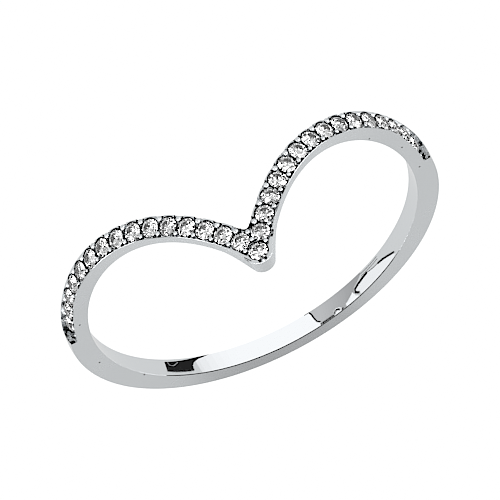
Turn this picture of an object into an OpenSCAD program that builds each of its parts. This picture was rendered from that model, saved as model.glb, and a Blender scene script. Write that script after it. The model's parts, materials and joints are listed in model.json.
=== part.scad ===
/* [Finger bore] */
// Inside diameter, a US size 7
bore_d = 17.3; // [15:0.1:21]

/* [Band] */
// Width of the plain shank, along the finger
shank_w = 1.05; // [0.9:0.05:1.6]
// Width of the stone-set arms, square to their run
arm_w = 1.1; // [1.1:0.02:1.6]
// Wall thickness at the back of the shank
back_t = 0.82; // [0.7:0.02:1.4]
// Wall thickness at the shoulders, where the plain shank begins
shoulder_t = 1.2; // [1:0.05:1.8]
// Wall thickness of the stone-set arms
arm_t = 0.86; // [0.8:0.02:1.4]
// Chamfer along both outer edges
edge_chamfer = 0.06; // [0.02:0.01:0.1]

/* [Chevron] */
// Height of the point above the flat back of the band
v_rise = 6.22; // [2:0.02:7]
// Angle round the band from the point to where the arms lie flat
v_reach = 76.5; // [70:0.5:80]
// Angle that sets how quickly the arms fall away from the point
v_fall = 57; // [35:1:90]
// Radius of the rounded point, round the stone that it holds
nose_r = 0.7; // [0.64:0.01:0.8]
// Extra metal along the front edge on both sides of the point
nose_full = 0.56; // [0.3:0.02:0.7]
// Angle over which the inner notch is rounded
notch_round = 1.2; // [0.5:0.1:3]

/* [Stones] */
// Stones on each arm, besides the one at the point
arm_stones = 15; // [8:1:15]
// Girdle diameter of a stone
stone_d = 0.92; // [0.7:0.02:0.94]
// Distance from the middle of the V to the first stone on each arm
first_run = 0.96; // [0.96:0.01:1.1]
// Distance along an arm from stone to stone beside the point
stone_pitch = 0.98; // [0.98:0.005:1]
// Growth of that distance from each stone to the next
pitch_growth = 0.01; // [0.006:0.001:0.012]
// Distance that the stone at the point sits forward of the middle of the V
point_forward = 0.1; // [0.06:0.01:0.14]
// Gap all round between a stone and its seat
seat_gap = 0.02; // [0.01:0.005:0.03]
// Depth of the girdle below the surface of the arm
girdle_sink = 0.05; // [0:0.01:0.1]

/* [Beads] */
// Diameter of the beads raised between the stones
bead_d = 0.3; // [0.2:0.01:0.32]
// Distance from a bead to the edge of the arm
bead_inset = 0.02; // [0.01:0.01:0.06]
// Depth of a bead's centre below the surface of the arm
bead_sink = 0.05; // [0.03:0.01:0.07]

/* [End pockets] */
// Length of the bright-cut pocket past the last stone
pocket_l = 0.5; // [0.4:0.02:0.8]
// Width of that pocket, along the finger
pocket_w = 0.72; // [0.5:0.02:0.8]
// Depth of that pocket
pocket_deep = 0.12; // [0.06:0.02:0.2]
// Width of the rail left behind the stones where the shoulder swells
rail_w = 0.12; // [0.1:0.01:0.16]
// How far the set surface falls across its width towards the front edge at the shoulders
front_drop = 0.14; // [0:0.01:0.15]

/* [Hidden] */
bore_r = bore_d / 2;
// Radius of the surface that all the stones are set in, and of their girdles
set_r = bore_r + arm_t;
row_r = set_r - girdle_sink;
mm_per_degree = row_r * PI / 180;
// Angles at which the arm starts to thicken and is a full shoulder
thicken_from = 62;
shoulder_at = 98;
// Angles between which the width changes from arm to shank
widen_from = 72;
widen_to = 100;
// Angle from the point over which the extra metal beside it fades out
nose_to = 10;
// Slight crown across the outside of the shank
crown = 0.05;
// The bore is a true cylinder all round the flat part, and the inside of the V, nearer the
// point than this angle, stands a hair outside it
v_inside_to = 42;
v_inside_clear = 0.005;
// Metal left inside the rest of the bore before it is cut
bore_allowance = 0.3;

// Proportions of a round brilliant, as parts of its diameter
table_ratio = 0.56;
crown_ratio = 0.15;
girdle_ratio = 0.03;
pavilion_ratio = 0.43;
star_ratio = 0.38;
lower_ratio = 0.1;
// Turn from each stone to the next about its own axis
stone_turn = 17;

// Distance from the stone at the point to the bead in the notch, and the bead on the nose
notch_down = 0.72;
nose_bead_d = 0.19;

// Overlap of an end pocket with the last seat
pocket_lap = 0.06;
// Angles at which the set surface starts to tilt and is fully tilted
tilt_from = 58;
tilt_to = 78;
// Steps of the channel that cuts the swelling shoulder back for the stones, and the clearance
// with which it starts above the arm
channel_steps = 16;
channel_clear = 0.02;

// Angle step along the arms for measuring their length
measure_step = 0.5;
exact_fn = 48;

// Rise of the centre line at an angle from the point
function fall_left(a) = max(0, 1 - a / v_reach);
function rise(a) = v_rise * pow(fall_left(a), 2) * exp(-a / v_fall);

// Fall of the centre line for each millimetre round the band
function steep(a) =
    v_rise * exp(-a / v_fall) * fall_left(a)
    * (2 / v_reach + fall_left(a) / v_fall) / mm_per_degree;
function stretch(a) = sqrt(1 + pow(steep(a), 2));

function eased(x) = let (c = max(0, min(1, x))) c * c * (3 - 2 * c);
function mixed(a, b, x) = a + (b - a) * x;

function half_w(a) = mixed(arm_w, shank_w, eased((a - widen_from) / (widen_to - widen_from))) / 2;

function wall_t(a) =
    a < shoulder_at
    ? mixed(arm_t, shoulder_t, eased((a - thicken_from) / (shoulder_at - thicken_from)))
    : mixed(back_t, shoulder_t, (1 + cos(180 * (a - shoulder_at) / (180 - shoulder_at))) / 2);
function outer_r(a) = bore_r + wall_t(a);

// Radius of the set surface at an angle and a distance off the centre line of the arm, towards
// the front, and its tilt towards the front
function tilted(a) = eased((a - tilt_from) / (tilt_to - tilt_from));
function surface_r(a, off) = set_r - front_drop * tilted(a) * (off / arm_w + 0.5);
function tilt(a) = atan(front_drop * tilted(a) / arm_w);

// Front edge: both sides run square to the centre line, grow fuller towards the point, and
// meet in an arc round its stone
function run_z(a) = rise(a) + half_w(a);
point_z = run_z(0) + point_forward;
nose_half = nose_r * sin(atan(steep(0)));
function front_side(a) = run_z(a) + half_w(a) * stretch(a) + nose_full * eased(1 - a / nose_to);
function nose_arc(a) = point_z + sqrt(pow(nose_r, 2) - pow(a * mm_per_degree, 2));
function front_z(a) =
    a * mm_per_degree < nose_half ? min(nose_arc(a), front_side(a)) : front_side(a);

// Back edge: both sides meet in a small rounded notch
function back_z(a) =
    let (b = sqrt(a * a + pow(notch_round * max(0, 1 - a / 20), 2)))
    rise(b) - half_w(a) * (stretch(b) - 1);

// Stations round the band, closest at the point
half_stations = concat(
    [for (a = [0:1:12]) a],
    [for (a = [15:3:96]) a],
    [for (a = [100:5:175]) a]
);
stations = concat(
    half_stations,
    [180],
    [for (i = [len(half_stations) - 1:-1:1]) -half_stations[i]]
);

function on_band(t, r, z) = [r * sin(t), -r * cos(t), z];

function section(t) =
    let (
        a = abs(t),
        r = outer_r(a),
        low = back_z(a),
        high = front_z(a),
        inside = a <= v_inside_to ? bore_r + v_inside_clear : bore_r - bore_allowance,
        dome = crown * eased((a - thicken_from) / (shoulder_at - thicken_from))
    )
    [
        on_band(t, inside, low),
        on_band(t, r - dome - edge_chamfer, low),
        on_band(t, r - dome, low + edge_chamfer),
        on_band(t, r, (low + high) / 2),
        on_band(t, r - dome, high - edge_chamfer),
        on_band(t, r - dome - edge_chamfer, high),
        on_band(t, inside, high)
    ];
corners = len(section(0));

// Length of the centre line from the point to each measured angle
measured_angles = [for (a = [0:measure_step:90]) a];
run_lengths = [
    for (i = 0, s = 0; i < len(measured_angles);
        s = s + stretch(measured_angles[i] + measure_step / 2) * measure_step * mm_per_degree,
        i = i + 1)
        [s, measured_angles[i]]
];

// Angle of the place that lies a given length along an arm, and the length to each stone
function run_angle(s) = lookup(s, run_lengths);
function stone_run(k) =
    k == 0 ? 0 : first_run + (k - 1) * stone_pitch + pow(k - 1, 2) * pitch_growth / 2;
function stone_z(k) = k == 0 ? point_z : run_z(run_angle(stone_run(abs(k))));
row_end = stone_run(arm_stones) + stone_d / 2;
pocket_end = row_end - pocket_lap + pocket_l;

// Number of a stone, from the left end to the right end, with 0 at the point
stone_numbers = [for (k = [-arm_stones:1:arm_stones]) k];
function stone_name(k) =
    k == 0 ? "stone_point" : k < 0 ? str("stone_left_", -k) : str("stone_right_", k);

// Puts a shape that points up on the outside of the band, at an angle and a height
module place_on_band(t, r, z) {
    rotate([0, 0, t])
        translate([0, -r, z])
            rotate([90 - tilt(abs(t)), 0, 0])
                children();
}

// Swept blank of the whole ring, before the bore and the seats are cut
module band_blank() {
    n = len(stations);
    points = [for (t = stations) each section(t)];
    faces = [
        for (i = [0:n - 1])
            for (j = [0:corners - 1])
                let (
                    i2 = (i + 1) % n,
                    j2 = (j + 1) % corners,
                    a = i * corners + j,
                    b = i * corners + j2,
                    c = i2 * corners + j2,
                    d = i2 * corners + j
                )
                each [[a, b, c], [a, c, d]]
    ];
    polyhedron(points, faces);
}

module finger_bore() {
    tall = v_rise + 4 * arm_w;
    translate([0, 0, -arm_w])
        cylinder(r = bore_r, h = tall, $fn = 180);
}

// Seat of one stone: a cone under the pavilion and a straight wall round the girdle
module seat() {
    r = stone_d / 2 + seat_gap;
    deep = pavilion_ratio * stone_d + 2 * seat_gap;
    clear_above = 0.5;
    rotate_extrude($fn = exact_fn)
        polygon([
            [0, -deep],
            [r, -girdle_ratio * stone_d],
            [r, clear_above],
            [0, clear_above]
        ]);
}

// One bead of metal raised beside the seats
module bead(d = bead_d) {
    sphere(d = d, $fn = exact_fn);
}

// Places its child at a length along an arm and a distance square to it
module place_on_arm(side, s, off) {
    a = run_angle(s);
    lean = atan(steep(a));
    t = a + off * sin(lean) / mm_per_degree;
    place_on_band(side * t, surface_r(a, off) - bead_sink, run_z(a) + off * cos(lean))
        children();
}

module arm_beads(side) {
    bead_off = arm_w / 2 - bead_d / 2 - bead_inset;
    for (k = [0:arm_stones]) {
        s = k < arm_stones ? (stone_run(k) + stone_run(k + 1)) / 2 : row_end + bead_d / 4;
        place_on_arm(side, s, bead_off)
            bead();
        if (k > 0)
            place_on_arm(side, s, -bead_off)
                bead();
    }
}

// One bead in the notch and a smaller one on the nose hold the stone at the point
module point_beads() {
    notch_z = point_z - notch_down;
    nose_z = point_z + nose_r - nose_bead_d / 2 - bead_inset;
    place_on_band(0, set_r - bead_sink, notch_z)
        bead();
    place_on_band(0, set_r, nose_z)
        bead(nose_bead_d);
}

module place_stone(k) {
    a = run_angle(stone_run(abs(k)));
    place_on_band(sign(k) * a, surface_r(a, 0) - girdle_sink, stone_z(k))
        rotate([0, 0, k * stone_turn])
            children();
}

// Square bright-cut pocket that closes the row of stones
module end_pocket(side) {
    a = run_angle(pocket_end - pocket_l / 2);
    place_on_band(side * a, surface_r(a, 0), run_z(a))
        translate([-pocket_l / 2, -pocket_w / 2, -pocket_deep])
            cube([pocket_l, pocket_w, pocket_deep * 3]);
}

// Channel that cuts the swelling shoulder back to the tilted surface, open to the front
module shoulder_channel(side) {
    high_z = 2 * arm_w;
    high_r = set_r + shoulder_t;
    angles = [
        for (i = [0:channel_steps]) mixed(tilt_from, run_angle(pocket_end), i / channel_steps)
    ];
    points = [
        for (a = angles)
            let (clear = channel_clear * (1 - tilted(a)))
            each [
                on_band(a, surface_r(a, rail_w - run_z(a)) + clear, rail_w),
                on_band(a, high_r, rail_w),
                on_band(a, high_r, high_z),
                on_band(a, surface_r(a, high_z - run_z(a)) + clear, high_z)
            ]
    ];
    last = 4 * channel_steps;
    faces = concat(
        [[3, 2, 1, 0], [last, last + 1, last + 2, last + 3]],
        [
            for (i = [0:channel_steps - 1])
                for (j = [0:3])
                    let (
                        j2 = (j + 1) % 4,
                        a = 4 * i + j,
                        b = 4 * i + j2,
                        c = 4 * i + 4 + j2,
                        d = 4 * i + 4 + j
                    )
                    each [[a, b, c], [a, c, d]]
        ]
    );
    mirror([side > 0 ? 0 : 1, 0, 0])
        polyhedron(points, faces);
}

module band() {
    color("gainsboro")
        difference() {
            union() {
                difference() {
                    band_blank();
                    finger_bore();
                    for (side = [-1, 1]) {
                        shoulder_channel(side);
                        end_pocket(side);
                    }
                }
                for (side = [-1, 1])
                    arm_beads(side);
                point_beads();
            }
            for (k = stone_numbers)
                place_stone(k)
                    seat();
        }
}

// Round brilliant with its girdle at the origin and its table upwards
module brilliant(d) {
    r = d / 2;
    table_r = r * table_ratio;
    top = d * crown_ratio;
    belt = d * girdle_ratio / 2;
    culet = -d * pavilion_ratio;
    crown_slope = (top - belt) / (r - table_r);
    pavilion_slope = (-culet - belt) / r;
    half = 22.5;
    star_r = d * star_ratio;
    star_z = belt + (r - star_r * cos(half)) * crown_slope;
    lower_r = d * lower_ratio;
    lower_z = -belt - (r - lower_r * cos(half)) * pavilion_slope;

    function ring(radius, z, n, turn) =
        [for (i = [0:n - 1]) [radius * cos(i * 360 / n + turn), radius * sin(i * 360 / n + turn), z]];
    points = concat(
        ring(table_r, top, 8, 0),
        ring(star_r, star_z, 8, half),
        ring(r, belt, 16, 0),
        ring(r, -belt, 16, 0),
        ring(lower_r, lower_z, 8, half),
        [[0, 0, culet]]
    );
    star = 8;
    upper = 16;
    under = 32;
    lower = 48;
    tip = 56;
    faces = concat(
        [[for (i = [7:-1:0]) i]],
        [for (i = [0:7]) [i, (i + 1) % 8, star + i]],
        [for (i = [0:7]) [i, star + i, upper + 2 * i, star + (i + 7) % 8]],
        [for (i = [0:7]) [star + i, upper + 2 * i + 1, upper + 2 * i]],
        [for (i = [0:7]) [star + i, upper + (2 * i + 2) % 16, upper + 2 * i + 1]],
        [for (i = [0:15]) [upper + i, upper + (i + 1) % 16, under + (i + 1) % 16, under + i]],
        [for (i = [0:7]) [lower + i, under + 2 * i, under + 2 * i + 1]],
        [for (i = [0:7]) [lower + i, under + 2 * i + 1, under + (2 * i + 2) % 16]],
        [for (i = [0:7]) [tip, lower + (i + 7) % 8, under + 2 * i, lower + i]]
    );
    polyhedron(points, faces);
}

module stone(k) {
    color("aliceblue")
        place_stone(k)
            brilliant(stone_d);
}

band();
for (k = stone_numbers)
    stone(k);
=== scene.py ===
import json
import math

import bpy
import numpy as np
from mathutils import Matrix, Vector


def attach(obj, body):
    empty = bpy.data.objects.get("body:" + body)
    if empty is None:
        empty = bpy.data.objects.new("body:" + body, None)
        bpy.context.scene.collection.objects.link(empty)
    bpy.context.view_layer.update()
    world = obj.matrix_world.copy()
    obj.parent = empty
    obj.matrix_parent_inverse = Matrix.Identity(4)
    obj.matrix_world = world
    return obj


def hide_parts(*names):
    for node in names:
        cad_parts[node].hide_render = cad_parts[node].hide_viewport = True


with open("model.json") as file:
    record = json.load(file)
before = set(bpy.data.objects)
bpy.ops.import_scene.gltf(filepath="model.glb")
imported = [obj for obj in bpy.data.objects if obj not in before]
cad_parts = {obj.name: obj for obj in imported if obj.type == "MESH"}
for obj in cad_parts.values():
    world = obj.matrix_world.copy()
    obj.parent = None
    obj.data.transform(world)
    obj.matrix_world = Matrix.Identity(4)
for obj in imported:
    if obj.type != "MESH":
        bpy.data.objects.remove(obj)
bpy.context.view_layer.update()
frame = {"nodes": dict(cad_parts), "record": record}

# View of the ring: it lies on its flat back edge, and a long lens looks down at the point of
# the V from in front, turned over so that the stone-set arms come to the top of the picture.
VIEW_TURN = math.radians(1.9)
VIEW_LIFT = math.radians(32.3)
VIEW_ROLL = math.radians(151.4)
VIEW_AWAY = 0.333
NEAREST, FARTHEST = 0.01, 20
PICTURE_PX = 500
PX_PER_METRE = 20823
AXIS_PX = (244.7, 240.3)
SENSOR_MM = 36

back = Vector((
    math.sin(VIEW_TURN) * math.cos(VIEW_LIFT),
    -math.cos(VIEW_TURN) * math.cos(VIEW_LIFT),
    math.sin(VIEW_LIFT),
))
level = Vector((math.cos(VIEW_TURN), math.sin(VIEW_TURN), 0))
upright = back.cross(level)
right = math.cos(VIEW_ROLL) * level + math.sin(VIEW_ROLL) * upright
up = math.cos(VIEW_ROLL) * upright - math.sin(VIEW_ROLL) * level
middle_px = PICTURE_PX / 2
aim = (right * (middle_px - AXIS_PX[0]) + up * (AXIS_PX[1] - middle_px)) / PX_PER_METRE

camera = bpy.data.objects.new("camera", bpy.data.cameras.new("camera"))
camera.data.sensor_width = SENSOR_MM
camera.data.lens = SENSOR_MM * PX_PER_METRE * VIEW_AWAY / PICTURE_PX
camera.data.clip_start = NEAREST
camera.data.clip_end = FARTHEST
turned = Matrix((right, up, back)).transposed().to_4x4()
camera.matrix_world = Matrix.Translation(aim + back * VIEW_AWAY) @ turned
bpy.context.scene.collection.objects.link(camera)
bpy.context.scene.camera = camera

# Floor and studio: a light table that glows evenly white, under one broad soft lamp overhead in
# a pale grey room. The metal mirrors the grey room, and neither the table nor the lamp.
FLOOR_SIDE = 3.0
TABLE_GREY = 0.05
TABLE_GLOW = 0.98


def stage_sheet(name, corners, material, faces=None):
    """A flat sheet of the studio, of one face or of the faces given."""
    mesh = bpy.data.meshes.new(name)
    mesh.from_pydata(corners, [], faces or [tuple(range(len(corners)))])
    mesh.materials.append(material)
    sheet = bpy.data.objects.new(name, mesh)
    bpy.context.scene.collection.objects.link(sheet)
    return sheet


floor_paper = bpy.data.materials.new("floor_paper")
floor_paper.use_nodes = True
floor_shader = floor_paper.node_tree.nodes["Principled BSDF"]
floor_shader.inputs["Base Color"].default_value = (TABLE_GREY, TABLE_GREY, TABLE_GREY, 1)
floor_shader.inputs["Roughness"].default_value = 0.8
floor_shader.inputs["Specular IOR Level"].default_value = 0.0
floor_shader.inputs["Emission Color"].default_value = (1, 1, 1, 1)
floor_shader.inputs["Emission Strength"].default_value = TABLE_GLOW
h = FLOOR_SIDE / 2
floor = stage_sheet("floor", [(-h, -h, 0), (h, -h, 0), (h, h, 0), (-h, h, 0)], floor_paper)
floor.visible_glossy = False
floor.visible_transmission = False

ROOM_ABOVE, ROOM_BELOW = 0.59, 0.74
ROOM_BLEND = 0.45
world = bpy.data.worlds.new("room")
world.use_nodes = True
wires = world.node_tree
where = wires.nodes.new("ShaderNodeTexCoord")
parts = wires.nodes.new("ShaderNodeSeparateXYZ")
blend = wires.nodes.new("ShaderNodeMapRange")
blend.inputs["From Min"].default_value = -ROOM_BLEND
blend.inputs["From Max"].default_value = ROOM_BLEND
blend.inputs["To Min"].default_value = ROOM_BELOW
blend.inputs["To Max"].default_value = ROOM_ABOVE
wires.links.new(where.outputs["Generated"], parts.inputs["Vector"])
wires.links.new(parts.outputs["Z"], blend.inputs["Value"])
wires.links.new(blend.outputs["Result"], wires.nodes["Background"].inputs["Color"])
bpy.context.scene.world = world
bpy.context.scene.view_settings.view_transform = "Standard"

# The picture is slightly sharpened, as product pictures are, with its highlights held at white.
SHARPEN = 0.07
bpy.context.scene.use_nodes = True
finishing = bpy.context.scene.node_tree
layers = finishing.nodes["Render Layers"]
held = finishing.nodes.new("CompositorNodeMixRGB")
held.blend_type = "DARKEN"
held.inputs[2].default_value = (1, 1, 1, 1)
sharper = finishing.nodes.new("CompositorNodeFilter")
sharper.filter_type = "SHARPEN"
sharper.inputs["Fac"].default_value = SHARPEN
finishing.links.new(layers.outputs["Image"], held.inputs[1])
finishing.links.new(held.outputs["Image"], sharper.inputs["Image"])
finishing.links.new(sharper.outputs["Image"], finishing.nodes["Composite"].inputs["Image"])

LAMP_PLACE = Vector((0.0, 0.05, 0.6))
LAMP_SIDE = 0.5
LAMP_WATTS = 3.5
lamp_data = bpy.data.lights.new("overhead", "AREA")
lamp_data.shape = "SQUARE"
lamp_data.size = LAMP_SIDE
lamp_data.energy = LAMP_WATTS
lamp = bpy.data.objects.new("overhead", lamp_data)
facing_ring = LAMP_PLACE.to_track_quat("Z", "Y").to_matrix().to_4x4()
lamp.matrix_world = Matrix.Translation(LAMP_PLACE) @ facing_ring
lamp.visible_glossy = False
bpy.context.scene.collection.objects.link(lamp)

# Slats of the light tent in front of and above the ring, bright and dark by turns and all dark
# beside the lens: the stones and the beads sparkle with them, while the flat walls of the band
# mirror the even room.
SLAT_AWAY = 0.5
SLAT_STEP = 9
SLAT_WIDE = 0.62
SLAT_ROWS = ((3, 20), (22, 42), (45, 70))
TENT_HALF = 126
DARK_EVERY = 3
BRIGHT, DARK = 3.2, 0.01
LENS_ROW, BESIDE_LENS = 1, 30
CARD_GREEN, CARD_BLUE = 0.99, 0.995


def glowing(name, grey):
    """A card that glows with one even brightness, standing in for a card lit from elsewhere."""
    material = bpy.data.materials.new(name)
    material.use_nodes = True
    nodes = material.node_tree.nodes
    nodes.clear()
    glow = nodes.new("ShaderNodeEmission")
    glow.inputs["Color"].default_value = (grey, grey * CARD_GREEN, grey * CARD_BLUE, 1)
    output = nodes.new("ShaderNodeOutputMaterial")
    material.node_tree.links.new(glow.outputs["Emission"], output.inputs["Surface"])
    return material


def only_mirrored(sheet):
    sheet.visible_camera = False
    sheet.visible_diffuse = False
    sheet.visible_shadow = False


def tent_point(turn, lift):
    turn, lift = math.radians(turn), math.radians(lift)
    return (
        SLAT_AWAY * math.sin(turn) * math.cos(lift),
        -SLAT_AWAY * math.cos(turn) * math.cos(lift),
        SLAT_AWAY * math.sin(lift),
    )


slat_bright, slat_dark = glowing("slat_bright", BRIGHT), glowing("slat_dark", DARK)
for row, (low, high) in enumerate(SLAT_ROWS):
    half = SLAT_STEP * SLAT_WIDE / math.cos(math.radians(low)) / 2
    for i, turn in enumerate(range(-TENT_HALF, TENT_HALF + 1, SLAT_STEP)):
        corners = [
            tent_point(turn - half, low), tent_point(turn + half, low),
            tent_point(turn + half, high), tent_point(turn - half, high),
        ]
        dark = (i + row) % DARK_EVERY == 1 or (row == LENS_ROW and abs(turn) < BESIDE_LENS)
        only_mirrored(stage_sheet(f"slat_{row}_{i}", corners, slat_dark if dark else slat_bright))

# A dark screen stands behind the ring, narrower towards its top. The satin front wall at the
# back of the shank mirrors it, and is shaded by it.
SCREEN_Y, SCREEN_HIGH = 0.028, 0.0165
SCREEN_FOOT, SCREEN_HEAD = 0.006, 0.004
SCREEN_GREY = 0.37
screen_corners = [
    (-SCREEN_FOOT, SCREEN_Y, 0.0),
    (SCREEN_FOOT, SCREEN_Y, 0.0),
    (SCREEN_HEAD, SCREEN_Y, SCREEN_HIGH),
    (-SCREEN_HEAD, SCREEN_Y, SCREEN_HIGH),
]
only_mirrored(stage_sheet("shade_screen", screen_corners, glowing("screen_grey", SCREEN_GREY)))

# Cards on the floor inside the ring, for its polished inner wall to mirror: each is laid out by
# the angle and the height on the wall at which the lens sees it mirrored, in degrees and mm. Of
# two cards that cross, the one less far under the floor's level is the one seen.
MM = 0.001
bore_mount = next(m for m in frame["record"]["mounts"] if m["name"] == "finger_bore")
BORE_R = bore_mount["dims"]["r_mm"]
WALL_LOW, WALL_TOP, WALL_OVER = -0.05, 1.15, 1.2
WHITE, OFF_WHITE, LENS_WHITE = 1.14, 1.12, 1.02
BLACK, SOFT_BLACK = 0.01, 0.1
LAYER = 0.001


def mirrored_at(t, z):
    """The place on the floor that the lens sees mirrored at an angle and height of the wall."""
    t = math.radians(t)
    place = Vector((BORE_R * math.sin(t), -BORE_R * math.cos(t), z))
    inward = Vector((-math.sin(t), math.cos(t), 0))
    away = -back
    bounce = away - 2 * away.dot(inward) * inward
    return place + bounce * (z / -bounce.z)


def inner_card(name, outline, grey, under, faces=None):
    """A card whose mirror image in the inner wall has this outline of (angle, height)."""
    corners = [mirrored_at(t, z) * MM for t, z in outline]
    flat = [(x, y, -under * MM) for x, y, _ in corners]
    only_mirrored(stage_sheet(name, flat, glowing(name, grey), faces))


def inner_line(name, path, wide, grey, under):
    """A strip as wide as given, in mm on the wall, along a path of (angle, height)."""
    on_wall = math.radians(BORE_R)
    flat = np.array([(t * on_wall, z) for t, z in path])
    way = np.gradient(flat, axis=0)
    way /= np.linalg.norm(way, axis=1)[:, None]
    off = np.column_stack((-way[:, 1], way[:, 0])) * wide / 2
    outline = np.concatenate([flat + off, flat - off])
    n = len(path)
    strip = [(i, i + 1, n + i + 1, n + i) for i in range(n - 1)]
    inner_card(name, [(x / on_wall, z) for x, z in outline], grey, under, strip)


def level_line(start, end, z, steps=12):
    return [(start + (end - start) * i / steps, z) for i in range(steps + 1)]


# The white of the wall runs from the black patch to a curved black line, and is hazy at first.
WHITE_FROM, WHITE_FOOT, WHITE_TO = 147, 188.7, 191.6
CURVE = [(188.9, 0.02), (189.4, 0.2), (189.6, 0.49), (190.0, 0.74), (191.0, 0.89)]
HAZES, HAZE_STEP = 7, 2.6
HAZE_TO, HAZE_FULL, HAZE_SPREAD, HAZE_DEEP = 164, 165, 17, 0.19
BLACK_PATCH = [
    (135.3, 0.18), (149.2, 0.03), (153.0, -0.02), (152.0, 0.05), (148.3, 0.18), (146.3, 0.34),
    (145.2, 0.55), (144.7, 0.89), (134.0, 0.85),
]
PATCH_ARC = [(136.5, 0.21), (136.7, 0.4), (138.2, 0.44), (140.4, 0.23)]
white_outline = level_line(WHITE_FROM, WHITE_FOOT, WALL_LOW) + CURVE
white_outline += level_line(WHITE_TO, WHITE_FROM, WALL_TOP)
inner_card("inner_white", white_outline, WHITE, under=0.03)
for step in range(HAZES):
    to_t = HAZE_TO - HAZE_STEP * step
    haze = level_line(WHITE_FROM, to_t, WALL_LOW) + level_line(to_t, WHITE_FROM, WALL_TOP)
    haze_grey = WHITE - HAZE_DEEP * ((HAZE_FULL - to_t) / HAZE_SPREAD) ** 2
    inner_card(f"inner_haze_{step}", haze, haze_grey, under=0.029 - LAYER * step)
inner_card("inner_black", BLACK_PATCH, grey=0.02, under=0.01)
inner_line("inner_arc", PATCH_ARC, wide=0.03, grey=0.6, under=0.0)

# Past the curved line the wall is grey, and darkens in steps towards a white wedge.
GREY_TO = 211.0
GREY_END = [(210.8, 0.14), (206.4, 0.48), (203.8, 0.72), (201.8, 0.78)]
GREY_CORNER = (201.5, WALL_OVER)
SHADES, SHADE_FROM, SHADE_LEAN = 14, 193, 2.5
SHADE_GREY, SHADE_DARKEN = 0.6, 0.0125
CURVE_START = (187.2, 0.02)
grey_outline = level_line(CURVE[0][0], GREY_TO, WALL_LOW) + GREY_END
grey_outline += [GREY_CORNER, (WHITE_TO, WALL_OVER)] + CURVE[::-1]
inner_card("inner_grey", grey_outline, grey=0.61, under=0.04)
for step in range(SHADES):
    from_t = SHADE_FROM + step
    shade = [(from_t, WALL_LOW), (GREY_TO, WALL_LOW)] + GREY_END
    shade += [GREY_CORNER, (from_t - SHADE_LEAN, WALL_OVER)]
    shade_grey = SHADE_GREY - SHADE_DARKEN * step
    inner_card(f"inner_shade_{step}", shade, shade_grey, under=0.035 - LAYER * step)
inner_line("inner_curve", [CURVE_START] + CURVE, wide=0.08, grey=BLACK, under=0.01)
inner_line("inner_edge", level_line(190.6, 200.0, z=1.01), wide=0.1, grey=BLACK, under=0.012)

# The white wedge, and a white patch shaped like a lens, edged in black, with two hairlines.
WEDGE = [(201.3, 0.92), (205.2, 0.62), (205.8, 0.89), (208.0, WALL_OVER), (201.3, WALL_OVER)]
LENS_TOP = [(227.5, 0.9), (223.7, 0.67), (221.2, 0.54), (218.6, 0.47), (215.4, 0.42)]
LENS_END = [
    (213.3, 0.35), (211.1, 0.38), (208.2, 0.48), (206.6, 0.58), (206.2, 0.74), (207.6, 0.92),
]
LENS_LOW = [(208.6, WALL_OVER), (216.0, WALL_OVER), (223.0, WALL_OVER), (227.5, 1.05)]
HAIR_FROM, HAIR_TO, HAIR_HEIGHTS = 210.8, 219.5, (0.13, 0.25)
inner_card("inner_wedge", WEDGE, OFF_WHITE, under=0.018)
inner_card("inner_lens", LENS_TOP + LENS_END + LENS_LOW, LENS_WHITE, under=0.02)
lens_middle = LENS_TOP[3:] + LENS_END[:1]
inner_line("inner_lens_upper", LENS_TOP[:4], wide=0.11, grey=BLACK, under=0.01)
inner_line("inner_lens_middle", lens_middle, wide=0.04, grey=SOFT_BLACK, under=0.01)
inner_line("inner_lens_end", LENS_END, wide=0.13, grey=BLACK, under=0.01)
for z in HAIR_HEIGHTS:
    hair = [(HAIR_FROM, z), (HAIR_TO, z)]
    inner_line(f"inner_hair_{z}", hair, wide=0.03, grey=SOFT_BLACK, under=0.01)

# A painted reflection of a small bright dent in the edge of the wall, with a dark arc in it,
# mirrored from two cards: the wall itself has no dent.
DENT_REFLECTION = [
    (195.9, 0.95), (196.3, 0.82), (197.6, 0.75), (199.0, 0.82), (199.4, 0.95), (198.8, 1.1),
    (196.3, 1.1),
]
DENT_ARC_REFLECTION = [(196.3, 0.99), (196.6, 0.88), (197.4, 0.83), (198.2, 0.86), (198.7, 0.96)]
inner_card("inner_dent", DENT_REFLECTION, OFF_WHITE, under=0.008)
inner_line("inner_dent_arc", DENT_ARC_REFLECTION, wide=0.1, grey=BLACK, under=0.0)

# The band: white gold, cast in one piece and rhodium plated. A flat-sided shank swells to the
# shoulders and thins into two arms, which rise in a V and meet in a rounded nose. Sizes are in
# mm, and angles in degrees from the point of the V.
SHANK_W = 1.05
ARM_W = 1.1
BACK_T = 0.82
SHOULDER_T = 1.2
ARM_T = 0.86
V_RISE = 6.22
V_REACH = 76.5
V_FALL = 57
NOSE_R = 0.7
NOSE_FULL = 0.56
NOSE_TO = 10
NOTCH_ROUND, NOTCH_TO = 1.2, 20
GIRDLE_SINK = 0.05
POINT_FORWARD = 0.1
THICKEN_FROM, SHOULDER_AT = 62, 98
WIDEN_FROM, WIDEN_TO = 72, 100
CROWN = 0.05
PER_DEGREE = (BORE_R + ARM_T - GIRDLE_SINK) * math.pi / 180


def eased(x):
    c = np.clip(x, 0, 1)
    return c * c * (3 - 2 * c)


def rise(a):
    left = np.clip(1 - a / V_REACH, 0, None)
    return V_RISE * left ** 2 * np.exp(-a / V_FALL)


def steep(a):
    left = np.clip(1 - a / V_REACH, 0, None)
    return V_RISE * np.exp(-a / V_FALL) * left * (2 / V_REACH + left / V_FALL) / PER_DEGREE


def stretch(a):
    return np.sqrt(1 + steep(a) ** 2)


def half_w(a):
    return (ARM_W + (SHANK_W - ARM_W) * eased((a - WIDEN_FROM) / (WIDEN_TO - WIDEN_FROM))) / 2


def run_z(a):
    return rise(a) + half_w(a)


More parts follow.
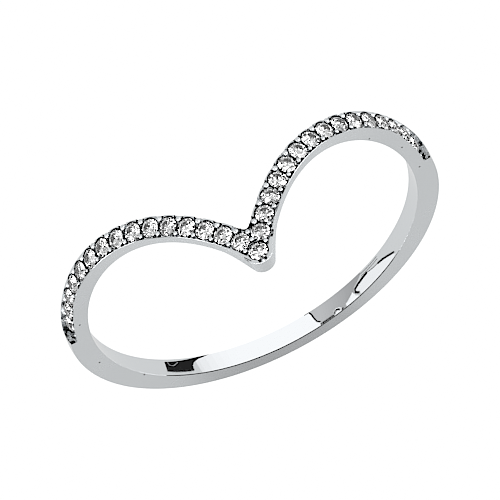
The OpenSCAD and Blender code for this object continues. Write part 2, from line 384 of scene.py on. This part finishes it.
def outer_r(a):
    swell = ARM_T + (SHOULDER_T - ARM_T) * eased((a - THICKEN_FROM) / (SHOULDER_AT - THICKEN_FROM))
    round_back = (1 + np.cos(np.pi * (a - SHOULDER_AT) / (180 - SHOULDER_AT))) / 2
    return BORE_R + np.where(a < SHOULDER_AT, swell, BACK_T + (SHOULDER_T - BACK_T) * round_back)


POINT_Z = run_z(0) + POINT_FORWARD


def front_z(a):
    side = run_z(a) + half_w(a) * stretch(a) + NOSE_FULL * eased(1 - a / NOSE_TO)
    arc = POINT_Z + np.sqrt(np.clip(NOSE_R ** 2 - (a * PER_DEGREE) ** 2, 0, None))
    nose_half = NOSE_R * math.sin(math.atan(steep(0)))
    return np.where(a * PER_DEGREE < nose_half, np.minimum(arc, side), side)


def back_z(a):
    b = np.sqrt(a ** 2 + (NOTCH_ROUND * np.clip(1 - a / NOTCH_TO, 0, 1)) ** 2)
    return rise(b) - half_w(a) * (stretch(b) - 1)


INNER_ROUND, INNER_ROUND_BACK = 0.006, 0.03
INNER_ROUND_AT = (122, 138, 224, 229)
OUTER_ROUND = 0.025
CORNER_STEPS = 5
OUTER_FACES, INNER_FACES = 8, 4
CLEAR_OF_BOX = 0.001


def leaning(edge, t):
    """How much longer a sloping edge of the band is than the angle it covers."""
    step = 0.1
    climb = float(edge(abs(t + step)) - edge(abs(t - step)))
    return math.hypot(1, climb / (2 * step * PER_DEGREE))


def section(t):
    """Outline of the band at an angle from the point, as (radius, height)."""
    a = abs(t)
    r, low, high = float(outer_r(a)) - CLEAR_OF_BOX, float(back_z(a)), float(front_z(a))
    dome = CROWN * float(eased((a - THICKEN_FROM) / (SHOULDER_AT - THICKEN_FROM)))
    rounds = (INNER_ROUND, INNER_ROUND_BACK, INNER_ROUND_BACK, INNER_ROUND)
    inner = float(np.interp(t % 360, INNER_ROUND_AT, rounds))
    tall_low, tall_high = leaning(back_z, t), leaning(front_z, t)
    ring = []

    def corner(r0, z0, round_r, tall, start):
        for i in range(CORNER_STEPS + 1):
            turn = math.radians(start + i * 90 / CORNER_STEPS)
            ring.append((r0 + round_r * math.cos(turn), z0 + round_r * tall * math.sin(turn)))

    edge = r - dome - OUTER_ROUND
    outer_low, outer_high = low + OUTER_ROUND * tall_low, high - OUTER_ROUND * tall_high
    inner_low, inner_high = low + inner * tall_low, high - inner * tall_high
    corner(BORE_R + inner, inner_low, inner, tall_low, 180)
    corner(edge, outer_low, OUTER_ROUND, tall_low, -90)
    for i in range(1, OUTER_FACES):
        across = 2 * i / OUTER_FACES - 1
        ring.append((r - dome * across ** 2, outer_low + (outer_high - outer_low) * i / OUTER_FACES))
    corner(edge, outer_high, OUTER_ROUND, tall_high, 0)
    corner(BORE_R + inner, inner_high, inner, tall_high, 90)
    for i in range(1, INNER_FACES):
        ring.append((BORE_R, inner_high + (inner_low - inner_high) * i / INNER_FACES))
    return ring


CLOUD_SCALE, CLOUD_DETAIL = 700, 3
CLOUD_TINTS = {"A": (0.96, 0.99, 1.01), "B": (0.97, 1.005, 1.025)}
GRAIN_DETAIL, GRAIN_STRENGTH = 2, 0.5


def procedural_gold(name, grey, roughness, spread, grain, grain_depth):
    """White gold whose roughness, tint and fine grain come from noise on its own coordinates."""
    material = bpy.data.materials.new(name)
    material.use_nodes = True
    nodes, links = material.node_tree.nodes, material.node_tree.links
    shader = nodes["Principled BSDF"]
    shader.inputs["Metallic"].default_value = 1.0
    place = nodes.new("ShaderNodeTexCoord")
    cloud = nodes.new("ShaderNodeTexNoise")
    cloud.inputs["Scale"].default_value = CLOUD_SCALE
    cloud.inputs["Detail"].default_value = CLOUD_DETAIL
    links.new(place.outputs["Object"], cloud.inputs["Vector"])
    rough = nodes.new("ShaderNodeMapRange")
    rough.inputs["To Min"].default_value = roughness - spread
    rough.inputs["To Max"].default_value = roughness + spread
    links.new(cloud.outputs["Fac"], rough.inputs["Value"])
    links.new(rough.outputs["Result"], shader.inputs["Roughness"])
    tint = nodes.new("ShaderNodeMix")
    tint.data_type = "RGBA"
    for socket, (r, g, b) in CLOUD_TINTS.items():
        tint.inputs[socket].default_value = (grey * r, grey * g, grey * b, 1)
    links.new(cloud.outputs["Fac"], tint.inputs["Factor"])
    links.new(tint.outputs["Result"], shader.inputs["Base Color"])
    fine = nodes.new("ShaderNodeTexNoise")
    fine.inputs["Scale"].default_value = grain
    fine.inputs["Detail"].default_value = GRAIN_DETAIL
    links.new(place.outputs["Object"], fine.inputs["Vector"])
    bump = nodes.new("ShaderNodeBump")
    bump.inputs["Strength"].default_value = GRAIN_STRENGTH
    bump.inputs["Distance"].default_value = grain_depth * MM
    links.new(fine.outputs["Fac"], bump.inputs["Height"])
    links.new(bump.outputs["Normal"], shader.inputs["Normal"])
    return material


gold_polished = procedural_gold(
    "gold_polished", grey=0.84, roughness=0.07, spread=0.02, grain=3000, grain_depth=0.0006)
gold_satin = procedural_gold(
    "gold_satin", grey=0.885, roughness=0.26, spread=0.05, grain=9000, grain_depth=0.0004)
# Rough as-cut metal whose colour is painted near black: painted shade in the seats under the stones
# and along the inner edge at the back of the shank.
gold_as_cut_painted_shade = procedural_gold(
    "gold_as_cut_painted_shade", grey=0.05, roughness=0.38, spread=0.08, grain=12000, grain_depth=0.006)

# Casting pits on the front wall, as (angle, radius). Their shade is painted as dark spots in the
# satin metal's colour, and no pits are cut.
PIT_SHADE_SPOTS = [(102.9, 9.12), (78.4, 9.09), (-88.3, 9.05), (-73.3, 9.0), (-56.6, 8.78), (124.2, 8.75)]
PIT_SHADE_R = 0.06
PIT_SHADE_COLOUR = (0.12, 0.12, 0.12, 1)


def add_painted_pit_shade(material):
    nodes, links = material.node_tree.nodes, material.node_tree.links
    place, tint, shader = nodes["Texture Coordinate"], nodes["Mix"], nodes["Principled BSDF"]
    colour = tint.outputs["Result"]
    for t, r in PIT_SHADE_SPOTS:
        s, c = math.sin(math.radians(t)), math.cos(math.radians(t))
        away = nodes.new("ShaderNodeVectorMath")
        away.operation = "DISTANCE"
        away.inputs[1].default_value = (r * s * MM, -r * c * MM, float(front_z(abs(t))) * MM)
        links.new(place.outputs["Object"], away.inputs[0])
        clean = nodes.new("ShaderNodeMapRange")
        clean.inputs["From Min"].default_value = PIT_SHADE_R / 2 * MM
        clean.inputs["From Max"].default_value = PIT_SHADE_R * MM
        links.new(away.outputs["Value"], clean.inputs["Value"])
        marked = nodes.new("ShaderNodeMix")
        marked.data_type = "RGBA"
        marked.inputs["A"].default_value = PIT_SHADE_COLOUR
        links.new(clean.outputs["Result"], marked.inputs["Factor"])
        links.new(colour, marked.inputs["B"])
        colour = marked.outputs["Result"]
    links.new(colour, shader.inputs["Base Color"])


add_painted_pit_shade(gold_satin)

# Painted light and shade of the graver's facets: the colour's cells are grey for lit facets and near
# black for shaded ones.
ENGRAVED_LIT_GREY, ENGRAVED_SHADE_BLACK = 0.6, 0.02
ENGRAVED_SHADED_PART, ENGRAVED_SOFT = 0.58, 0.04
ENGRAVED_FACET = 0.14


def engraved_gold_painted_light(name):
    """White gold cut by a graver into small facets, whose light and shade are painted into its
    colour: cells are grey where a facet is lit and near black where it is shaded.
    """
    material = procedural_gold(
        name, grey=1.0, roughness=0.3, spread=0.05, grain=12000, grain_depth=0.004)
    nodes, links = material.node_tree.nodes, material.node_tree.links
    shader, tint = nodes["Principled BSDF"], nodes["Mix"]
    place = nodes["Texture Coordinate"]
    cells = nodes.new("ShaderNodeTexVoronoi")
    cells.inputs["Scale"].default_value = 1 / (ENGRAVED_FACET * MM)
    links.new(place.outputs["Object"], cells.inputs["Vector"])
    lit = nodes.new("ShaderNodeMapRange")
    lit.inputs["From Min"].default_value = ENGRAVED_SHADED_PART - ENGRAVED_SOFT
    lit.inputs["From Max"].default_value = ENGRAVED_SHADED_PART + ENGRAVED_SOFT
    lit.inputs["To Min"].default_value = ENGRAVED_SHADE_BLACK
    lit.inputs["To Max"].default_value = ENGRAVED_LIT_GREY
    links.new(cells.outputs["Color"], lit.inputs["Value"])
    shaded = nodes.new("ShaderNodeMix")
    shaded.data_type = "RGBA"
    shaded.blend_type = "MULTIPLY"
    shaded.inputs["Factor"].default_value = 1.0
    links.new(tint.outputs["Result"], shaded.inputs["A"])
    links.new(lit.outputs["Result"], shaded.inputs["B"])
    links.new(shaded.outputs["Result"], shader.inputs["Base Color"])
    return material


gold_engraved_painted_light = engraved_gold_painted_light("gold_engraved_painted_light")

# Each face of the band and of the tools that cut it carries the number of its finish.
POLISHED, SATIN, AS_CUT_PAINTED_SHADE, ENGRAVED_PAINTED_LIGHT = range(4)
FINISHES = {
    "Polished": gold_polished,
    "Satin": gold_satin,
    "As cut": gold_as_cut_painted_shade,
    "Engraved": gold_engraved_painted_light,
}
# Between these angles, the inner edge of the front wall takes the near-black as-cut metal: a painted
# shade line.
EDGE_SHADE_FROM, EDGE_SHADE_TO = 133, 228


def store_finishes(mesh, finishes):
    held = mesh.attributes.new("finish", "INT", "FACE")
    held.data.foreach_set("value", finishes)


def swept_ring(name, stations):
    """The band before its stones are set: satin side walls, polished outside and inside, and
    near-black metal painted as shade along the inner edge at the back of the shank.
    """
    points, faces, finishes = [], [], []
    for t in stations:
        s, c = math.sin(math.radians(t)), math.cos(math.radians(t))
        outline = section(t)
        points += [(r * s, -r * c, z) for r, z in outline]
    n, m = len(stations), len(outline)
    # The faces of a section are numbered from its inner corner at the back.
    low_wall = CORNER_STEPS
    high_wall = 3 * (CORNER_STEPS + 1) + OUTER_FACES - 2
    inner_edge = range(high_wall + 1, high_wall + 1 + CORNER_STEPS)
    outer_edge = range(high_wall - CORNER_STEPS, high_wall)
    for i, t in enumerate(stations):
        shaded = EDGE_SHADE_FROM <= t % 360 <= EDGE_SHADE_TO
        near_nose = abs(t) < NOSE_TO
        for j in range(m):
            i2, j2 = (i + 1) % n, (j + 1) % m
            faces.append((i * m + j, i2 * m + j, i2 * m + j2, i * m + j2))
            satin = j in (low_wall, high_wall) or j in inner_edge or (near_nose and j in outer_edge)
            if shaded and j in inner_edge:
                finishes.append(AS_CUT_PAINTED_SHADE)
            else:
                finishes.append(SATIN if satin else POLISHED)
    mesh = bpy.data.meshes.new(name)
    mesh.from_pydata(points, [], faces)
    store_finishes(mesh, finishes)
    return mesh


NOSE_STEP, ARM_STEP, SHANK_STEP = 0.25, 0.75, 1.5
ARM_FROM, ARM_TO, SHANK_FROM = 14, 100, 100.5
half_stations = np.concatenate([
    np.arange(0, ARM_FROM, NOSE_STEP),
    np.arange(ARM_FROM, ARM_TO, ARM_STEP),
    np.arange(SHANK_FROM, 180, SHANK_STEP),
])
stations = list(half_stations) + [180.0] + [-t for t in half_stations[:0:-1]]
blank = bpy.data.objects.new("ring_band_blank", swept_ring("ring_band_blank", stations))
bpy.context.scene.collection.objects.link(blank)

# Seats, beads and end pockets of the row: a burr sinks one seat for each stone, a graver cuts
# the metal away between them, and what it leaves is pushed over the stones as small beads.
ARM_STONES = 15
STONE_D = 0.92
FIRST_RUN = 0.96
STONE_PITCH = 0.98
PITCH_GROWTH = 0.01
SEAT_GAP = 0.018
BEAD_D = 0.3
BEAD_INSET = 0.02
BEAD_SINK = 0.052
POCKET_L, POCKET_W, POCKET_DEEP, POCKET_LAP = 0.5, 0.72, 0.12, 0.06
FRONT_DROP, TILT_FROM, TILT_TO = 0.14, 58, 78
SET_R = BORE_R + ARM_T


def tilted(a):
    return float(eased((a - TILT_FROM) / (TILT_TO - TILT_FROM)))


def surface_r(a, off):
    """Radius of the set surface, which falls towards the front edge at the shoulders."""
    return SET_R - FRONT_DROP * tilted(a) * (off / ARM_W + 0.5)


MEASURE_STEP = 0.5
measured = np.arange(0, 90 + MEASURE_STEP / 2, MEASURE_STEP)
step_lengths = stretch(measured[:-1] + MEASURE_STEP / 2) * MEASURE_STEP * PER_DEGREE
run_lengths = np.concatenate([[0], np.cumsum(step_lengths)])


def run_angle(s):
    return float(np.interp(s, run_lengths, measured))


def stone_run(k):
    return 0 if k == 0 else FIRST_RUN + (k - 1) * STONE_PITCH + (k - 1) ** 2 * PITCH_GROWTH / 2


ROW_END = stone_run(ARM_STONES) + STONE_D / 2
POCKET_END = ROW_END - POCKET_LAP + POCKET_L


def spot(t, sink, z, lean=0.0, size=(1, 1, 1), off=0.0):
    """A place on the outside of the band, with its way out, its way along and a size."""
    s, c = math.sin(math.radians(t)), math.cos(math.radians(t))
    r = surface_r(abs(t), off) - sink
    tilt = math.atan(FRONT_DROP * tilted(abs(t)) / ARM_W)
    out = (s * math.cos(tilt), -c * math.cos(tilt), math.sin(tilt))
    round_way = np.array([c, s, 0])
    along = round_way * math.cos(lean) + np.array([0, 0, 1]) * math.sin(lean)
    return (r * s, -r * c, z), out, tuple(along), size


def arm_spot(side, s, off, sink, size=(1, 1, 1)):
    """A place at a length along an arm and a distance square to it, towards the front edge."""
    a = run_angle(s)
    lean = math.atan(steep(a))
    t = a + off * math.sin(lean) / PER_DEGREE
    return spot(side * t, sink, float(run_z(a)) + off * math.cos(lean), -side * lean, size, off)


def marks(name, spots):
    """Points that a tree puts a tool on, each with its way out, its way along and its size."""
    mesh = bpy.data.meshes.new(name)
    mesh.from_pydata([place[0] for place in spots], [], [])
    for label, column in (("out", 1), ("along", 2), ("size", 3)):
        held = mesh.attributes.new(label, "FLOAT_VECTOR", "POINT")
        held.data.foreach_set("vector", [v for place in spots for v in place[column]])
    marked = bpy.data.objects.new(name, mesh)
    bpy.context.scene.collection.objects.link(marked)
    return marked


PIT_ALONG, PIT_DEEP = 0.5, 0.14
PIT_BACK, PIT_FRONT = -0.62, 0.525
RAIL_FROM, PIT_AT_RAIL = 10, -0.4
FRONT_BEAD_D, FRONT_BEAD_OFF = 0.25, 0.335
END_BEAD_D = 0.17


def pit(side, s, start, end):
    """Graver cut across an arm, from one distance off its centre line to another."""
    return arm_spot(side, s, (start + end) / 2, 0, (PIT_ALONG, end - start, 2 * PIT_DEEP))


def ball(d):
    return (d, d, d)


seat_spots = [spot(0, GIRDLE_SINK, POINT_Z)]
pit_spots, bead_spots, pocket_spots = [], [], []
bead_off = ARM_W / 2 - BEAD_D / 2 - BEAD_INSET
pocket_size = (POCKET_L, POCKET_W, 2 * POCKET_DEEP)
for side in (-1, 1):
    for k in range(1, ARM_STONES + 1):
        seat_spots.append(arm_spot(side, stone_run(k), 0, GIRDLE_SINK))
    for k in range(ARM_STONES):
        between = (stone_run(k) + stone_run(k + 1)) / 2
        if k > 0:
            bead_spots.append(arm_spot(side, between, -bead_off, BEAD_SINK, ball(BEAD_D)))
        back_end = PIT_BACK if k < RAIL_FROM else PIT_AT_RAIL
        pit_spots.append(pit(side, between, back_end if k > 0 else 0, PIT_FRONT))
        front_d = FRONT_BEAD_D if k < RAIL_FROM else END_BEAD_D
        bead_spots.append(arm_spot(side, between, FRONT_BEAD_OFF, BEAD_SINK, ball(front_d)))
    bead_spots.append(arm_spot(side, ROW_END + BEAD_D / 4, bead_off, BEAD_SINK, ball(END_BEAD_D)))
    pocket_spots.append(arm_spot(side, POCKET_END - POCKET_L / 2, 0, 0, pocket_size))

# Round the stone at the point: one bead in the middle of the three stones, one in the notch
# and one on the nose, each left standing in a cut of its own.
MIDDLE_BEAD_D, MIDDLE_DOWN = 0.24, 0.72
NOTCH_BEAD_D, NOTCH_DOWN = 0.26, 1.19
NOSE_BEAD_D, NOSE_UP, NOSE_PROUD = 0.15, 0.61, 0.02
MIDDLE_CUT = (0.5, 0.4, 2 * PIT_DEEP)
NOTCH_CUT, NOTCH_CUT_DOWN = (0.6, 0.6, 2 * PIT_DEEP), 1.27
NOSE_CUT, NOSE_CUT_UP = (0.44, 0.16, 2 * PIT_DEEP), 0.55
bead_spots += [
    spot(0, BEAD_SINK, POINT_Z - MIDDLE_DOWN, size=ball(MIDDLE_BEAD_D)),
    spot(0, BEAD_SINK, POINT_Z - NOTCH_DOWN, size=ball(NOTCH_BEAD_D)),
    spot(0, -NOSE_PROUD, POINT_Z + NOSE_UP, size=ball(NOSE_BEAD_D)),
]
pit_spots += [
    spot(0, 0, POINT_Z - MIDDLE_DOWN, size=MIDDLE_CUT),
    spot(0, 0, POINT_Z - NOTCH_CUT_DOWN, size=NOTCH_CUT),
    spot(0, 0, POINT_Z + NOSE_CUT_UP, size=NOSE_CUT),
]

# Thin bright cuts beside that stone, as (arm, length along it, distance off its middle, size).
THIN_CUTS = [
    (1, 0.1, 0.65, (0.42, 0.035, 0.08)),
    (1, 0.12, 0.72, (0.3, 0.03, 0.08)),
    (-1, 0.9, 0.58, (0.4, 0.12, 0.1)),
]
pit_spots += [arm_spot(arm, s, off, 0, size) for arm, s, off, size in THIN_CUTS]


def lathe(name, profile, sides):
    """A turned tool with its axis up, from a profile of (radius, height), both ends on the axis."""
    points = [(0, 0, profile[0][1])]
    for r, z in profile[1:-1]:
        for i in range(sides):
            turn = 2 * math.pi * i / sides
            points.append((r * math.cos(turn), r * math.sin(turn), z))
    points.append((0, 0, profile[-1][1]))
    rows = len(profile) - 2
    faces = [(0, 1 + (i + 1) % sides, 1 + i) for i in range(sides)]
    for row in range(rows - 1):
        a, b = 1 + row * sides, 1 + (row + 1) * sides
        faces += [(a + i, a + (i + 1) % sides, b + (i + 1) % sides, b + i) for i in range(sides)]
    last = 1 + (rows - 1) * sides
    faces += [(last + i, last + (i + 1) % sides, len(points) - 1) for i in range(sides)]
    mesh = bpy.data.meshes.new(name)
    mesh.from_pydata(points, [], faces)
    tool = bpy.data.objects.new(name, mesh)
    bpy.context.scene.collection.objects.link(tool)
    return tool


PAVILION_RATIO, GIRDLE_RATIO, CROWN_RATIO, TABLE_RATIO = 0.43, 0.03, 0.15, 0.56
BURR_SIDES = 32
BURR_TIP_R, BURR_TOP = 0.06, 0.5
FLARE_R, FLARE_FROM, FLARE_TALL = 0.515, -0.03, 0.02
seat_r = STONE_D / 2 + SEAT_GAP
belt = GIRDLE_RATIO * STONE_D / 2
top = CROWN_RATIO * STONE_D
table_r = TABLE_RATIO * STONE_D / 2
deep = -PAVILION_RATIO * STONE_D - 2 * SEAT_GAP
seat_below = [(0, deep), (BURR_TIP_R, deep), (seat_r, -belt - SEAT_GAP), (seat_r, FLARE_FROM)]
seat_above = [(FLARE_R, FLARE_FROM + FLARE_TALL), (FLARE_R, BURR_TOP), (0, BURR_TOP)]
burr = lathe("seat_burr", seat_below + seat_above, BURR_SIDES)
flare_faces = 2 * BURR_SIDES
# The burr leaves near-black as-cut metal in each seat, as painted shade under and between the
# stones, and satin on its flare.
store_finishes(burr.data, [AS_CUT_PAINTED_SHADE] * (len(burr.data.polygons) - flare_faces) + [SATIN] * flare_faces)
keep_clear = lathe("stone_clearance", [
    (0, deep), (BURR_TIP_R, deep), (seat_r, -belt - SEAT_GAP), (seat_r, belt),
    (table_r + SEAT_GAP, top + SEAT_GAP), (0, top + SEAT_GAP)], BURR_SIDES)

CHANNEL_CLEAR, RAIL_W = 0.02, 0.12
CHANNEL_STEPS = 32


def channel_tool(name):
    """Cuts the swelling shoulders back to the stones on both sides, open to the front."""
    ends = np.linspace(TILT_FROM, run_angle(POCKET_END), CHANNEL_STEPS + 1)
    high_r, high_z = SET_R + SHOULDER_T, 2 * ARM_W
    points, faces, finishes = [], [], []
    for side_ends in (-ends[::-1], ends):
        first = len(points)
        for t in side_ends:
            a = abs(t)
            clear = CHANNEL_CLEAR * (1 - tilted(a))
            low_r = surface_r(a, RAIL_W - float(run_z(a))) + clear
            front_r = surface_r(a, high_z - float(run_z(a))) + clear
            s, c = math.sin(math.radians(t)), math.cos(math.radians(t))
            for r, z in ((low_r, RAIL_W), (high_r, RAIL_W), (high_r, high_z), (front_r, high_z)):
                points.append((r * s, -r * c, z))
        last = len(points) - 4
        for i in range(first, last, 4):
            faces += [(i + j, i + 4 + j, i + 4 + (j + 1) % 4, i + (j + 1) % 4) for j in range(4)]
        faces += [(first, first + 1, first + 2, first + 3), (last + 3, last + 2, last + 1, last)]
        # The two end walls of each channel take the engraved metal, with its painted light and
        # shade.
        finishes += [SATIN] * (len(faces) - len(finishes) - 2) + [ENGRAVED_PAINTED_LIGHT, ENGRAVED_PAINTED_LIGHT]
    mesh = bpy.data.meshes.new(name)
    mesh.from_pydata(points, [], faces)
    store_finishes(mesh, finishes)
    tool = bpy.data.objects.new(name, mesh)
    bpy.context.scene.collection.objects.link(tool)
    return tool


def add_node(tree, kind, inputs=None, **settings):
    made = tree.nodes.new(kind)
    for name, value in settings.items():
        setattr(made, name, value)
    for name, value in (inputs or {}).items():
        socket = made.inputs[name]
        if isinstance(value, bpy.types.NodeSocket):
            tree.links.new(value, socket)
        else:
            socket.default_value = value
    return made


SOLVER = "MANIFOLD"
BEAD_ROUNDNESS = 4
TOOL_INPUTS = ("Seats", "Pits", "Beads", "Pockets", "Channels", "Burr", "Stone clearance")


def setting_tree():
    """Sets the row: cuts shoulders, seats, pits and pockets, and adds the beads round the stones."""
    tree = bpy.data.node_groups.new("stone_setting", "GeometryNodeTree")
    face = tree.interface
    face.new_socket("Blank", in_out="INPUT", socket_type="NodeSocketGeometry")
    face.new_socket("Set band", in_out="OUTPUT", socket_type="NodeSocketGeometry")
    for label in TOOL_INPUTS:
        face.new_socket(label, in_out="INPUT", socket_type="NodeSocketObject")
    face.new_socket("Metres in a millimetre", in_out="INPUT", socket_type="NodeSocketFloat")
    for label in FINISHES:
        face.new_socket(label, in_out="INPUT", socket_type="NodeSocketMaterial")
    given = tree.nodes.new("NodeGroupInput").outputs

    def shape_of(tool):
        return add_node(tree, "GeometryNodeObjectInfo", {"Object": tool}).outputs["Geometry"]

    def attribute(name, data_type="FLOAT_VECTOR"):
        read = add_node(tree, "GeometryNodeInputNamedAttribute", {"Name": name}, data_type=data_type)
        return read.outputs["Attribute"]

    def tools_at(marks_socket, tool):
        points = add_node(tree, "GeometryNodeMeshToPoints", {"Mesh": shape_of(marks_socket)})
        turn = add_node(tree, "FunctionNodeAxesToRotation", {
            "Primary Axis": attribute("out"),
            "Secondary Axis": attribute("along"),
        }, primary_axis="Z", secondary_axis="X")
        placed = add_node(tree, "GeometryNodeInstanceOnPoints", {
            "Points": points.outputs["Points"],
            "Instance": tool,
            "Rotation": turn.outputs["Rotation"],
            "Scale": attribute("size"),
        })
        return placed.outputs["Instances"]

    def cut(metal, tools):
        return add_node(tree, "GeometryNodeMeshBoolean", {"Mesh 1": metal, "Mesh 2": tools},
                        operation="DIFFERENCE", solver=SOLVER).outputs["Mesh"]

    def finished(shape, finish):
        return add_node(tree, "GeometryNodeStoreNamedAttribute", {
            "Geometry": shape,
            "Name": "finish",
            "Value": finish,
        }, data_type="INT", domain="FACE").outputs["Geometry"]

    clearance = finished(shape_of(given["Stone clearance"]), POLISHED)
    cube = add_node(tree, "GeometryNodeMeshCube", {"Size": (1, 1, 1)}).outputs["Mesh"]
    # The graver's cuts take the engraved metal, with its painted light and shade.
    graver = finished(cube, ENGRAVED_PAINTED_LIGHT)
    globe = add_node(tree, "GeometryNodeMeshIcoSphere", {
        "Radius": 0.5,
        "Subdivisions": BEAD_ROUNDNESS,
    }).outputs["Mesh"]
    bead = finished(globe, POLISHED)

    metal = cut(given["Blank"], shape_of(given["Channels"]))
    metal = cut(metal, tools_at(given["Seats"], shape_of(given["Burr"])))
    metal = cut(metal, tools_at(given["Pits"], graver))
    metal = cut(metal, tools_at(given["Pockets"], graver))
    beads = add_node(tree, "GeometryNodeRealizeInstances", {
        "Geometry": tools_at(given["Beads"], bead)}).outputs["Geometry"]
    beads = cut(beads, tools_at(given["Seats"], clearance))
    joined = add_node(tree, "GeometryNodeMeshBoolean", operation="UNION", solver=SOLVER)
    tree.links.new(metal, joined.inputs["Mesh 2"])
    tree.links.new(beads, joined.inputs["Mesh 2"])
    scale = add_node(tree, "ShaderNodeCombineXYZ", {
        axis: given["Metres in a millimetre"] for axis in "XYZ"})
    sized = add_node(tree, "GeometryNodeTransform", {
        "Geometry": joined.outputs["Mesh"],
        "Scale": scale.outputs["Vector"],
    })
    whole = add_node(tree, "GeometryNodeRealizeInstances", {
        "Geometry": sized.outputs["Geometry"]}).outputs["Geometry"]
    finish = attribute("finish", "INT")
    for number, label in enumerate(FINISHES):
        here = add_node(tree, "FunctionNodeCompare", data_type="INT", operation="EQUAL")
        tree.links.new(finish, here.inputs[2])
        here.inputs[3].default_value = number
        whole = add_node(tree, "GeometryNodeSetMaterial", {
            "Geometry": whole,
            "Selection": here.outputs["Result"],
            "Material": given[label],
        }).outputs["Geometry"]
    result = tree.nodes.new("NodeGroupOutput")
    tree.links.new(whole, result.inputs["Set band"])
    return tree


inputs = {
    "Seats": marks("seat_marks", seat_spots),
    "Pits": marks("pit_marks", pit_spots),
    "Beads": marks("bead_marks", bead_spots),
    "Pockets": marks("pocket_marks", pocket_spots),
    "Channels": channel_tool("shoulder_channels"),
    "Burr": burr,
    "Stone clearance": keep_clear,
    "Metres in a millimetre": MM,
    **FINISHES,
}
tree = setting_tree()
modifier = blank.modifiers.new("stone_setting", "NODES")
modifier.node_group = tree
for socket in tree.interface.items_tree:
    if socket.in_out == "INPUT" and socket.name in inputs:
        modifier[socket.identifier] = inputs[socket.name]

SHARP_FROM = math.radians(8)
seen = bpy.context.evaluated_depsgraph_get()
ring_mesh = bpy.data.meshes.new_from_object(blank.evaluated_get(seen))
if ring_mesh.materials[0] is None:
    ring_mesh.materials.pop(index=0)
blank.modifiers.clear()
ring_band = bpy.data.objects.new("ring_band", ring_mesh)
bpy.context.scene.collection.objects.link(ring_band)
for tool in [blank] + [o for o in inputs.values() if isinstance(o, bpy.types.Object)]:
    bpy.data.objects.remove(tool)
ring_mesh.polygons.foreach_set("use_smooth", [True] * len(ring_mesh.polygons))
ring_mesh.set_sharp_from_angle(angle=SHARP_FROM)
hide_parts("band")
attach(ring_band, "root")

# The stones: 31 round brilliants of clear diamond, one at the point of the V and 15 along each
# arm. Each has a flat table, a faceted crown and pavilion and a thin girdle, and sits in its
# seat under the beads. Their shapes are the frame's own, and only get the stone's material.
DIAMOND_IOR = 2.42
DIAMOND_CLOUD_SCALE = 1200
DIAMOND_COOL, DIAMOND_WARM = (0.97, 0.985, 1.0, 1), (1.0, 1.0, 0.99, 1)
diamond = bpy.data.materials.new("diamond")
diamond.use_nodes = True
stone_nodes, stone_links = diamond.node_tree.nodes, diamond.node_tree.links
stone_shader = stone_nodes["Principled BSDF"]
stone_place = stone_nodes.new("ShaderNodeTexCoord")
stone_cloud = stone_nodes.new("ShaderNodeTexNoise")
stone_cloud.inputs["Scale"].default_value = DIAMOND_CLOUD_SCALE
stone_tint = stone_nodes.new("ShaderNodeMix")
stone_tint.data_type = "RGBA"
stone_tint.inputs["A"].default_value = DIAMOND_COOL
stone_tint.inputs["B"].default_value = DIAMOND_WARM
stone_links.new(stone_place.outputs["Object"], stone_cloud.inputs["Vector"])
stone_links.new(stone_cloud.outputs["Fac"], stone_tint.inputs["Factor"])
stone_links.new(stone_tint.outputs["Result"], stone_shader.inputs["Base Color"])
stone_shader.inputs["Roughness"].default_value = 0.0
stone_shader.inputs["Transmission Weight"].default_value = 1.0
stone_shader.inputs["IOR"].default_value = DIAMOND_IOR
for name, node in frame["nodes"].items():
    if name.startswith("stone_"):
        node.data.materials.clear()
        node.data.materials.append(diamond)
